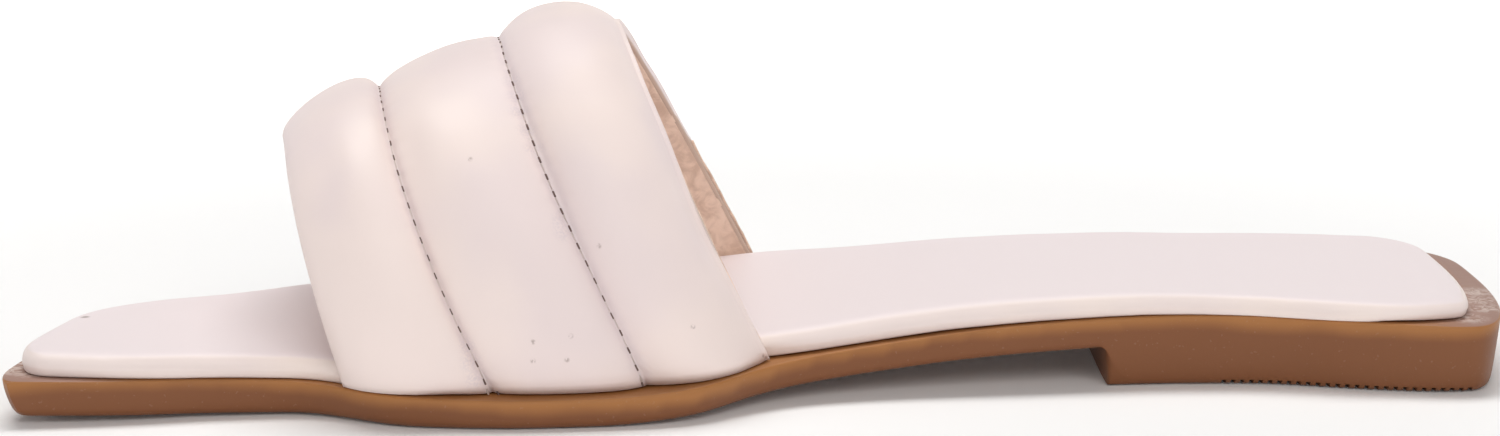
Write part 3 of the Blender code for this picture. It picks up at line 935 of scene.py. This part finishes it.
tree.links.new(smooth_range(tree, texture.outputs["Cloud"], 0.3, 0.7, 0.45, 0.56),
               shader.inputs["Roughness"])
bumped(tree, shader, texture.outputs["Height"], 0.08 * MM, 0.5)
print("cement at (mm):", [[round(v / MM, 1) for v in place] for place in smear_places])


# %% Put the finishes on
def finish_with(piece, material):
    piece.data.materials.clear()
    piece.data.materials.append(material)
    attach(piece, "root")


finish_with(band, skin)
finish_with(lining, lining_finish)
finish_with(footbed, wrap)
finish_with(outsole, gum)
for piece in seam_pieces:
    finish_with(piece, thread)
for piece in hole_shade_pieces:
    finish_with(piece, hole_shade)
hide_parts("upper_band")
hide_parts("footbed")
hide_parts("outsole")
print("pieces:", [piece.name for piece in (band, lining, footbed, outsole, *seam_pieces, *hole_shade_pieces)])

# %% [markdown]
# ## The studio
# The photograph is a plain product shot on pure white. A white table runs up behind, one large soft
# light hangs overhead, and a second one fills in from the camera's side. The paper also glows a
# little from a hand's breadth away from the shoe, so that it burns out to white, while the ground
# close to the sole keeps the soft shadow that the lights cast.

# %% Table and backdrop
TABLE_RADIUS = 2.4
RISES = (
    # how much wider, how much higher (metres)
    (1.10, 0.05),
    (1.08, 0.14),
    (1.05, 0.25),
    (1.02, 0.90),
)
bpy.ops.object.select_all(action="DESELECT")
bpy.ops.mesh.primitive_circle_add(vertices=96, radius=TABLE_RADIUS, fill_type="NGON", location=(0, 0, 0))
table = bpy.context.object
table.name = "table_and_backdrop"
bpy.ops.object.mode_set(mode="EDIT")
bpy.ops.mesh.select_mode(type="EDGE")
bpy.ops.mesh.select_all(action="SELECT")
bpy.ops.mesh.region_to_loop()
for outwards, height in RISES:
    bpy.ops.mesh.extrude_region_move(TRANSFORM_OT_translate={"value": (0, 0, height)})
    bpy.ops.transform.resize(value=(outwards, outwards, 1))
bpy.ops.mesh.select_all(action="SELECT")
bpy.ops.mesh.normals_make_consistent(inside=True)
bpy.ops.object.mode_set(mode="OBJECT")
bpy.ops.object.shade_smooth_by_angle(angle=math.radians(60))
print("backdrop height:", round(table.dimensions.z, 2), "m")

# %% White paper
PAPER_COOL = (0.95, 0.95, 0.955)
PAPER_WARM = (0.97, 0.97, 0.97)
GLOW_FROM = 0.14
GLOW_FULL = 0.40
GLOW_NEAR = 0.02
GLOW_FAR = 0.42

paper, tree, shader, where, texture = new_finish("white_paper", 0.75, specular=0.2)
tree.links.new(blended(tree, noise_mask(tree, where, 6), PAPER_COOL, PAPER_WARM),
               shader.inputs["Base Color"])
far_off = add(tree, "ShaderNodeVectorMath", operation="LENGTH")
tree.links.new(where, far_off.inputs[0])
glow = smooth_range(tree, far_off.outputs["Value"], GLOW_FROM, GLOW_FULL, GLOW_NEAR, GLOW_FAR)
tree.links.new(glow, shader.inputs["Emission Strength"])
shader.inputs["Emission Color"].default_value = (1.0, 1.0, 1.0, 1.0)
table.data.materials.append(paper)
print("paper glows from", GLOW_FROM, "to", GLOW_FULL, "m from the middle of the shoe")


# %% Lights
def soft_light(name, place, aim, size, power, colour):
    """A rectangular light; its size in metres and its power in watts."""
    bpy.ops.object.light_add(type="AREA", location=place)
    light = bpy.context.object
    light.name = name
    light.data.shape = "RECTANGLE"
    light.data.size, light.data.size_y = size
    light.data.energy = power
    light.data.color = colour
    light.rotation_euler = (Vector(aim) - Vector(place)).to_track_quat("-Z", "Y").to_euler()


soft_light("overhead", place=(-0.05, 0.26, 1.10), aim=(0, 0, 0), size=(1.0, 0.45), power=9.3,
           colour=(1.0, 0.99, 0.97))
soft_light("front_high", place=(0.10, -1.00, 0.70), aim=(0, 0, 0.02), size=(0.9, 0.5), power=4.6,
           colour=(1.0, 0.97, 0.94))

# %% The room
ROOM_COLOUR = (0.97, 0.98, 1.0, 1.0)
ROOM_STRENGTH = 0.13

world = bpy.data.worlds.new("bright_room")
world.use_nodes = True
world.node_tree.nodes["Background"].inputs[0].default_value = ROOM_COLOUR
world.node_tree.nodes["Background"].inputs[1].default_value = ROOM_STRENGTH
bpy.context.scene.world = world
bpy.context.scene.view_settings.view_transform = "Standard"
print("room:", world.name, "at", ROOM_STRENGTH)
